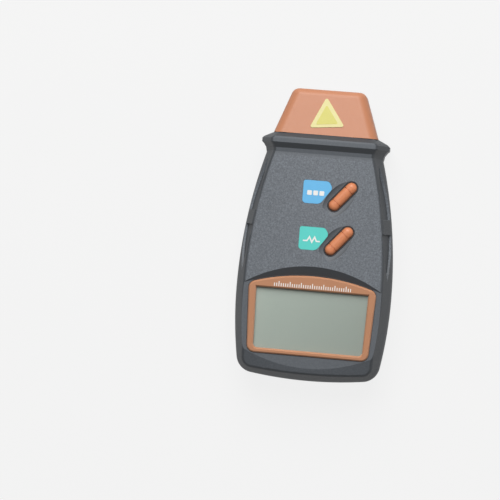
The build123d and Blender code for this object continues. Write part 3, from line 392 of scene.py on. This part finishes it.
def display_glass(name, node):
    """Grey-green display with painted light and shade, paler toward its upper left and darker toward its
    lower right, with the faint specks of its film.
    """
    low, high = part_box(node)
    material, tree, shader = new_material(name)
    place = millimetres(tree)
    apart = axes(tree, place)
    across = between(tree, apart["X"], 0.0, PAINTED_LIGHT_ACROSS, low.x / MM, high.x / MM)
    along = between(tree, apart["Y"], 1 - PAINTED_LIGHT_ACROSS, 0.0, low.y / MM, high.y / MM)
    # Painted light and shade: pale at the upper left, dark at the lower right
    base = mixed(tree, math(tree, "ADD", across, along), DISPLAY_PAINTED_LIGHT, DISPLAY_PAINTED_SHADE)
    clouds = noise(tree, place, scale=0.08)
    base = mixed(tree, between(tree, clouds, 0.0, 0.2), base, DISPLAY_CLOUD)
    speck = noise(tree, place, scale=1.6, rough=0.7)
    base = mixed(tree, between(tree, speck, 0.0, 0.22), base, DISPLAY_SPECK)
    fill(tree, shader, Base_Color=base, Roughness=between(tree, speck, 0.3, 0.4))
    return material


def circuit_board(name):
    """Green solder mask with paler tracks under it."""
    material, tree, shader = new_material(name)
    place = millimetres(tree)
    tracks = add_node(tree, "ShaderNodeTexBrick", Vector=place, Scale=0.35)
    fill(tree, tracks, Mortar_Size=0.06, Brick_Width=2.2, Row_Height=0.5)
    fill(tree, tracks, Color1=BOARD_MASK[0], Color2=BOARD_MASK[1], Mortar=BOARD_TRACK)
    gloss = between(tree, noise(tree, place, scale=0.8), 0.25, 0.4)
    fill(tree, shader, Base_Color=tracks.outputs["Color"], Roughness=gloss)
    bumped(tree, shader, tracks.outputs["Fac"], depth=0.03)
    return material


COPPER_FROM_SHARE = 0.68
TERMINAL_HEIGHT = 2.1
JACKET_BLEND = 0.1


def battery_jacket(name, node):
    """Lacquered steel jacket: dark body with a copper-coloured end by the terminals."""
    low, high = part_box(node)
    material, tree, shader = new_material(name)
    place = millimetres(tree)
    along = axes(tree, place)["X"]
    split = (low.x + COPPER_FROM_SHARE * (high.x - low.x)) / MM
    copper_end = between(tree, along, 0.0, 1.0, split, split + JACKET_BLEND)
    shoulder = high.x / MM - TERMINAL_HEIGHT
    terminals = between(tree, along, 0.0, 1.0, shoulder, shoulder + JACKET_BLEND)
    clouds = noise(tree, place, scale=0.3, detail=3.0)
    base = mixed(tree, copper_end, mixed(tree, clouds, *JACKET_BLACK), mixed(tree, clouds, *JACKET_COPPER))
    base = mixed(tree, terminals, base, TERMINAL_PLATE)
    metallic = math(tree, "MAXIMUM", math(tree, "MULTIPLY", copper_end, 0.6), terminals)
    fill(tree, shader, Base_Color=base, Metallic=metallic, Roughness=between(tree, clouds, 0.28, 0.38))
    bumped(tree, shader, noise(tree, place, scale=1.5), depth=0.004, edge_radius=0.2)
    return material


def printed_film(name, colour, roughness=0.38):
    """Printed film: even ink with a faint screen of dots and a soft gloss."""
    material, tree, shader = new_material(name)
    place = millimetres(tree)
    clouds = noise(tree, place, scale=0.25)
    dots = noise(tree, place, scale=5.0, detail=1.0)
    base = mixed(tree, clouds, shade(colour, 0.96), shade(colour, 1.04))
    base = mixed(tree, between(tree, dots, 0.0, 0.3), base, shade(colour, 0.88))
    fill(tree, shader, Base_Color=base, Roughness=between(tree, dots, roughness - 0.05, roughness + 0.08))
    bumped(tree, shader, dots, depth=0.002, edge_radius=0.08)
    return material


looks = {
    "grey_case": spark_grained("case_grey", GREY, 0.55),
    "orange_cap": moulded("cap_orange", CAP_ORANGE, 0.48, mottle=0.04, grain=1.6, depth=0.008),
    "orange_trim": moulded("trim_orange", TRIM_ORANGE, 0.36, mottle=0.04, grain=2.0, wear_and_highlight=0.45),
    "orange_key": moulded("key_orange", KEY_ORANGE, 0.42, mottle=0.06, grain=2.5, depth=0.006, wear_and_highlight=0.4),
    "dark_window": clear_pane("window_dark_red", DARK_RED_TINT, 0.03, ACRYLIC_INDEX),
    "clear_window": clear_pane("window_satin", PANE_TINT, 0.32, COATED_INDEX, SATIN_SHARE, PANE_SATIN),
    "black_plastic": moulded("plastic_black", srgb(38, 38, 40), 0.5),
    "brass": metal("brass_turned", BRASS, 0.3, (6.0, 0.4, 6.0)),
    "lens": clear_lens("lens_clear", LENS_TINT),
    "photodiode": moulded("epoxy_dark", srgb(46, 36, 54), 0.2, depth=0.001),
    "lcd": display_glass("display_glass", "lcd_glass"),
    "strip": moulded("strip_rubber", srgb(128, 128, 132), 0.7, mottle=0.12, grain=4.0),
    "board": circuit_board("circuit_board"),
    "chip": moulded("chip_epoxy", srgb(36, 36, 37), 0.6),
    "tin_can": metal("can_plated", TIN_PLATE, 0.28),
    "capacitor": moulded("sleeve_blue", srgb(36, 60, 118), 0.3, grain=1.0),
    "battery_case": battery_jacket("battery_jacket", "battery"),
    "snap": moulded("snap_vinyl", srgb(44, 44, 46), 0.55),
    "screw": metal("screw_zinc", ZINC_PLATE, 0.32),
    "lead_red": moulded("lead_red", srgb(176, 34, 30), 0.4, wear_and_highlight=0.0),
    "lead_black": moulded("lead_black", srgb(34, 34, 36), 0.4, wear_and_highlight=0.0),
    "plunger": moulded("plunger_black", srgb(44, 44, 46), 0.4),
    "label_blue": printed_film("film_blue", BLUE_FILM),
    "label_green": printed_film("film_green", GREEN_FILM),
    "marker_yellow": printed_film("film_yellow", YELLOW_FILM),
}
for subpart in frame["record"]["subparts"]:
    node = frame["nodes"][subpart["node"]]
    for node_slot in node.material_slots:
        node_slot.material = looks[subpart["material_slot"]]

white_print = printed_film("print_white", WHITE_PRINT, 0.45)
yellow_print = printed_film("print_yellow", YELLOW_PRINT, 0.4)


# Pieces of the scene's own, which all ride on the casing

def casing_piece(name, mesh, material):
    """Object with a finished mesh and one material, which rides on the casing."""
    data = bpy.data.meshes.new(name)
    mesh.to_mesh(data)
    mesh.free()
    piece = bpy.data.objects.new(name, data)
    bpy.context.scene.collection.objects.link(piece)
    data.materials.append(material)
    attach(piece, "casing")
    return piece


def join_rings(mesh, first, second):
    """Faces between two closed rings of vertices."""
    for i in range(len(first)):
        j = (i + 1) % len(first)
        mesh.faces.new((first[i], first[j], second[j], second[i]))


# Printed signs, each a thin plate laid on the surface that carries it
PRINT_THICKNESS = 0.04
PRINT_SINK = 0.02


def print_plates(name, outlines, carrier, material):
    """Thin closed plates with these outlines, following the surface under them."""
    mesh = bmesh.new()
    for outline in outlines:
        lower, upper = [], []
        for x, y in outline:
            z = surface_height(carrier, x, y)
            lower.append(mesh.verts.new((x * MM, y * MM, (z - PRINT_SINK) * MM)))
            upper.append(mesh.verts.new((x * MM, y * MM, (z + PRINT_THICKNESS) * MM)))
        mesh.faces.new(upper)
        mesh.faces.new(list(reversed(lower)))
        join_rings(mesh, lower, upper)
    bmesh.ops.recalc_face_normals(mesh, faces=mesh.faces)
    caps = [face for face in mesh.faces if len(face.verts) > 4]
    bmesh.ops.triangulate(mesh, faces=caps)
    casing_piece(name, mesh, material)


def rounded_polygon(corners, radii, steps=4):
    """Outline with each corner of a convex polygon rounded by its own radius."""
    points = []
    for i, (corner, radius) in enumerate(zip(corners, radii)):
        here = Vector(corner)
        back = (Vector(corners[i - 1]) - here).normalized()
        ahead = (Vector(corners[(i + 1) % len(corners)]) - here).normalized()
        half_turn = back.angle(ahead) / 2
        middle = here + (back + ahead).normalized() * (radius / sin(half_turn))
        start = here + back * (radius * cos(half_turn) / sin(half_turn))
        end = here + ahead * (radius * cos(half_turn) / sin(half_turn))
        for step in range(steps + 1):
            chord = start.lerp(end, step / steps) - middle
            points.append(tuple(middle + chord.normalized() * radius))
    return points


CORNER_SIGNS = [(-1, -1), (1, -1), (1, 1), (-1, 1)]
MITRE_LIMIT = 0.4


def rectangle(x, y, width, height):
    """Corners of a rectangle about its centre."""
    return [(x + across * width / 2, y + along * height / 2) for across, along in CORNER_SIGNS]


def stroke(points, width):
    """Outline of a line of even width along a few points."""
    places = [Vector(point) for point in points]
    left, right = [], []
    for i, here in enumerate(places):
        before = (here - places[i - 1]).normalized() if i else (places[1] - here).normalized()
        after = (places[i + 1] - here).normalized() if i < len(places) - 1 else before
        along = (before + after).normalized()
        side = Vector((-along.y, along.x))
        reach = width / 2 / max(MITRE_LIMIT, side.dot(Vector((-before.y, before.x))))
        left.append(tuple(here + side * reach))
        right.append(tuple(here - side * reach))
    return left + right[::-1]


# Sign on the first label: a row of three memory cells
MEM_SIGN_INWARD = 5.7
SIGN_BELOW_MIDDLE = 0.4
MEM_CELLS = 3
MEM_CELL_SIZE = 2.1
MEM_CELL_PITCH = 2.75
MEM_CELL_RADII = [0.4] * 4
label_low, label_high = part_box("mem_label")
mem_sign_x = label_low.x / MM + MEM_SIGN_INWARD
mem_sign_y = (label_low.y + label_high.y) / 2 / MM - SIGN_BELOW_MIDDLE
mem_cells = []
for cell in range(MEM_CELLS):
    cell_x = mem_sign_x + (cell - (MEM_CELLS - 1) / 2) * MEM_CELL_PITCH
    cell_corners = rectangle(cell_x, mem_sign_y, MEM_CELL_SIZE, MEM_CELL_SIZE)
    mem_cells.append(rounded_polygon(cell_corners, MEM_CELL_RADII))
print_plates("mem_sign", mem_cells, "mem_label", white_print)

# Sign on the second label: a pulse
TEST_SIGN_INWARD = 5.9
PULSE_WIDTH = 0.62
PULSE = [(-4.1, -0.7), (-2.3, -0.7), (-1.3, 1.1), (-0.1, -1.2), (1.0, 1.1), (1.9, -0.7), (3.5, -0.7)]
label_low, label_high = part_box("test_label")
test_sign_x = label_low.x / MM + TEST_SIGN_INWARD
test_sign_y = (label_low.y + label_high.y) / 2 / MM - SIGN_BELOW_MIDDLE
pulse = [(test_sign_x + x, test_sign_y + y) for x, y in PULSE]
print_plates("test_sign", [stroke(pulse, PULSE_WIDTH)], "test_label", white_print)

# Label films, whose stamped corners are rounder than the hollows that they lie in
LABEL_FOOT = 8.0
LABEL_TIP = 13.1
LABEL_TIP_HEIGHT = 7.4
LABEL_SHOULDER = 11.2
LABEL_RADII = [1.6, 3.0, 2.0, 2.0, 1.0]
LABEL_THICKNESS = 0.3
LABEL_ARC_STEPS = 6
FILM_RINGS = 5
FILM_REACH = 0.97


def label_film(name, label, slot):
    """Film that stands for a label and follows its crown."""
    low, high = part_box(label)
    left, bottom, top = low.x / MM, low.y / MM, high.y / MM
    corners = [
        (left, bottom),
        (left + LABEL_FOOT, bottom),
        (left + LABEL_TIP, bottom + LABEL_TIP_HEIGHT),
        (left + LABEL_SHOULDER, top),
        (left, top),
    ]
    outline = [Vector(point) for point in rounded_polygon(corners, LABEL_RADII, LABEL_ARC_STEPS)]
    centre = sum(outline, Vector((0, 0))) / len(outline)
    mesh = bmesh.new()

    def vertex(point, share, drop):
        place = centre + (point - centre) * share
        sample = centre + (point - centre) * min(share, FILM_REACH)
        height = surface_height(label, *sample) - drop
        return mesh.verts.new((place.x * MM, place.y * MM, height * MM))

    rings = [[vertex(point, 1.0, LABEL_THICKNESS) for point in outline]]
    for ring in range(FILM_RINGS):
        rings.append([vertex(point, 1 - ring / FILM_RINGS, 0.0) for point in outline])
    for ring, following in zip(rings, rings[1:]):
        join_rings(mesh, ring, following)
    mesh.faces.new(rings[-1])
    mesh.faces.new(rings[0])
    bmesh.ops.recalc_face_normals(mesh, faces=mesh.faces)
    bmesh.ops.triangulate(mesh, faces=[face for face in mesh.faces if len(face.verts) > 4])
    piece = casing_piece(name, mesh, looks[slot])
    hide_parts(label)


label_film("mem_label_film", "mem_label", "label_blue")
label_film("test_label_film", "test_label", "label_green")

# Dark ring that fills the gap round each button, level with the dish that it lies in
BUTTON_LENGTH = 15.8
BUTTON_WIDTH = 5.0
BUTTON_SLANT = radians(49.5)
GAP_RING_INNER, GAP_RING_OUTER = 0.07, 0.62
GAP_RING_SAMPLE = 0.8
GAP_RING_TOP, GAP_RING_BOTTOM = -0.12, -0.5


def capsule_outline(x, y, grow, steps=14):
    """Outline of a button's capsule about its centre, grown by a distance."""
    radius = BUTTON_WIDTH / 2 + grow
    reach = (BUTTON_LENGTH - BUTTON_WIDTH) / 2
    along = Vector((cos(BUTTON_SLANT), sin(BUTTON_SLANT)))
    outline = []
    for end in (1, -1):
        centre = Vector((x, y)) + along * reach * end
        for step in range(steps + 1):
            angle = BUTTON_SLANT + radians(-90 + 180 * step / steps + (0 if end == 1 else 180))
            outline.append(tuple(centre + Vector((cos(angle), sin(angle))) * radius))
    return outline


def button_gap_ring(name, button):
    """Closed ring round a button, whose height follows the dish."""
    low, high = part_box(button)
    x, y = (low.x + high.x) / 2 / MM, (low.y + high.y) / 2 / MM
    inner, outer = capsule_outline(x, y, GAP_RING_INNER), capsule_outline(x, y, GAP_RING_OUTER)
    heights = [surface_height("front_shell", *point) for point in capsule_outline(x, y, GAP_RING_SAMPLE)]
    mesh = bmesh.new()
    rings = []
    for outline, lift in ((inner, GAP_RING_TOP), (outer, GAP_RING_TOP), (outer, GAP_RING_BOTTOM), (inner, GAP_RING_BOTTOM)):
        points = [(px * MM, py * MM, (z + lift) * MM) for (px, py), z in zip(outline, heights)]
        rings.append([mesh.verts.new(point) for point in points])
    for ring, following in zip(rings, rings[1:] + rings[:1]):
        join_rings(mesh, ring, following)
    bmesh.ops.recalc_face_normals(mesh, faces=mesh.faces)
    casing_piece(name, mesh, looks["plunger"])


button_gap_ring("mem_gap_ring", "mem_button")
button_gap_ring("test_gap_ring", "test_button")

# Row of plain marks on the bezel, between its arch and the display
MARK_COUNT = 35
MARK_PITCH = 1.0
MARK_WIDTH = 0.4
LONG_MARK = 2.3
SHORT_MARK = 1.5
LONG_MARK_EVERY = 5
MARKS_ABOVE_WINDOW = 1.6
_, window_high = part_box("display_window")
marks_y = window_high.y / MM + MARKS_ABOVE_WINDOW
marks = []
for mark in range(MARK_COUNT):
    place = mark - (MARK_COUNT - 1) // 2
    height = SHORT_MARK if place % LONG_MARK_EVERY else LONG_MARK
    marks.append(rectangle(place * MARK_PITCH, marks_y + (height - LONG_MARK) / 2, MARK_WIDTH, height))
print_plates("bezel_marks", marks, "display_bezel", white_print)

# Inner field of the triangle on the nose
FIELD_SHARE = 0.64
marker_points = [Vector(vertex.co[:2]) / MM for vertex in frame["nodes"]["nose_marker"].data.vertices]
marker_ring = [marker_points[i] for i in convex_hull_2d(marker_points)]
marker_low, marker_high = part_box("nose_marker")
marker_centre = Vector((0.0, (2 * marker_low.y + marker_high.y) / 3 / MM))
field = [tuple(marker_centre + (point - marker_centre) * FIELD_SHARE) for point in marker_ring]
print_plates("marker_field", [field], "nose_marker", yellow_print)


# Floor, lamps, world and camera, where FLOOR_SIZE, the lamps and the camera's limits are in metres

FLOOR_SIZE = 8.0
FLOOR_TONES = srgb(165, 165, 164), srgb(171, 171, 170)
FLOOR_ROUGHNESS = 0.7
FLOOR_GLOW = 0.84
FLOOR_DROP = 0.02


def pale_floor():
    """Large pale table top, a hair under the instrument so that no two faces share a plane."""
    bpy.ops.mesh.primitive_plane_add(size=FLOOR_SIZE, location=(0, 0, -FLOOR_DROP * MM))
    floor = bpy.context.object
    floor.name = "floor"
    material, tree, shader = new_material("floor_pale")
    tone = noise(tree, millimetres(tree), scale=0.02)
    fill(tree, shader, Base_Color=mixed(tree, tone, *FLOOR_TONES), Roughness=FLOOR_ROUGHNESS)
    ray = tree.nodes.new("ShaderNodeLightPath").outputs
    seen = math(tree, "MAXIMUM", ray["Is Camera Ray"], ray["Is Glossy Ray"])
    seen = math(tree, "MAXIMUM", seen, ray["Is Transmission Ray"])
    glow = add_node(tree, "ShaderNodeEmission", Strength=1.0)
    share = math(tree, "MULTIPLY", seen, FLOOR_GLOW)
    show(tree, blended(tree, share, shader.outputs["BSDF"], glow.outputs["Emission"]))
    floor.data.materials.append(material)


LAMP_AIM = Vector((0, 0, 0.01))


def soft_lamp(name, place, size, power):
    """Square area lamp aimed at the instrument."""
    light = bpy.data.lights.new(name, "AREA")
    light.size = size
    light.energy = power
    lamp = bpy.data.objects.new(name, light)
    lamp.location = place
    lamp.rotation_euler = (LAMP_AIM - Vector(place)).to_track_quat("-Z", "Y").to_euler()
    bpy.context.scene.collection.objects.link(lamp)


AMBIENT = 0.11
SURROUND = 0.85
MIRRORED_SHARE = 0.6


def pale_world():
    """Even ambient light, with a pale surround for what looks past the floor."""
    world = bpy.data.worlds.new("surround")
    bpy.context.scene.world = world
    world.use_nodes = True
    tree = world.node_tree
    ray = tree.nodes.new("ShaderNodeLightPath").outputs
    seen = math(tree, "MAXIMUM", ray["Is Camera Ray"], ray["Is Transmission Ray"])
    mirrored = math(tree, "MULTIPLY", ray["Is Glossy Ray"], MIRRORED_SHARE)
    strength = between(tree, math(tree, "MAXIMUM", seen, mirrored), AMBIENT, SURROUND, 0.0, 1.0)
    fill(tree, tree.nodes["Background"], Color=PURE_WHITE, Strength=strength)


FOCAL_PIXELS = 2000.0
CAMERA_PITCH, CAMERA_YAW, CAMERA_ROLL = radians(1.27), radians(-5.51), radians(-4.81)
CAMERA_DISTANCE = 902.14
CAMERA_AIM = Vector((0.0, -5.5, 14.0))
CAMERA_SHIFT = Vector((30.46, 0.79, -CAMERA_DISTANCE))
CAMERA_NEAR, CAMERA_FAR = 0.01, 20.0


def photo_camera():
    """Camera above the instrument, turned as in the photograph."""
    data = bpy.data.cameras.new("camera")
    data.sensor_width = SENSOR_WIDTH
    data.lens = FOCAL_PIXELS / PICTURE_SIZE * SENSOR_WIDTH
    data.clip_start, data.clip_end = CAMERA_NEAR, CAMERA_FAR
    camera = bpy.data.objects.new("camera", data)
    bpy.context.scene.collection.objects.link(camera)
    turn = (
        Matrix.Rotation(CAMERA_ROLL, 3, "Z")
        @ Matrix.Rotation(CAMERA_YAW, 3, "Y")
        @ Matrix.Rotation(CAMERA_PITCH, 3, "X")
    ).transposed()
    place = (CAMERA_AIM - turn @ CAMERA_SHIFT) * MM
    camera.matrix_world = Matrix.Translation(place) @ turn.to_4x4()
    bpy.context.scene.camera = camera


pale_floor()
pale_world()
soft_lamp("key", place=(-0.06, 0.72, 0.86), size=0.85, power=15.5)
soft_lamp("side", place=(1.0, 0.1, 0.3), size=0.35, power=1.1)
photo_camera()
bpy.context.scene.view_settings.view_transform = "Standard"
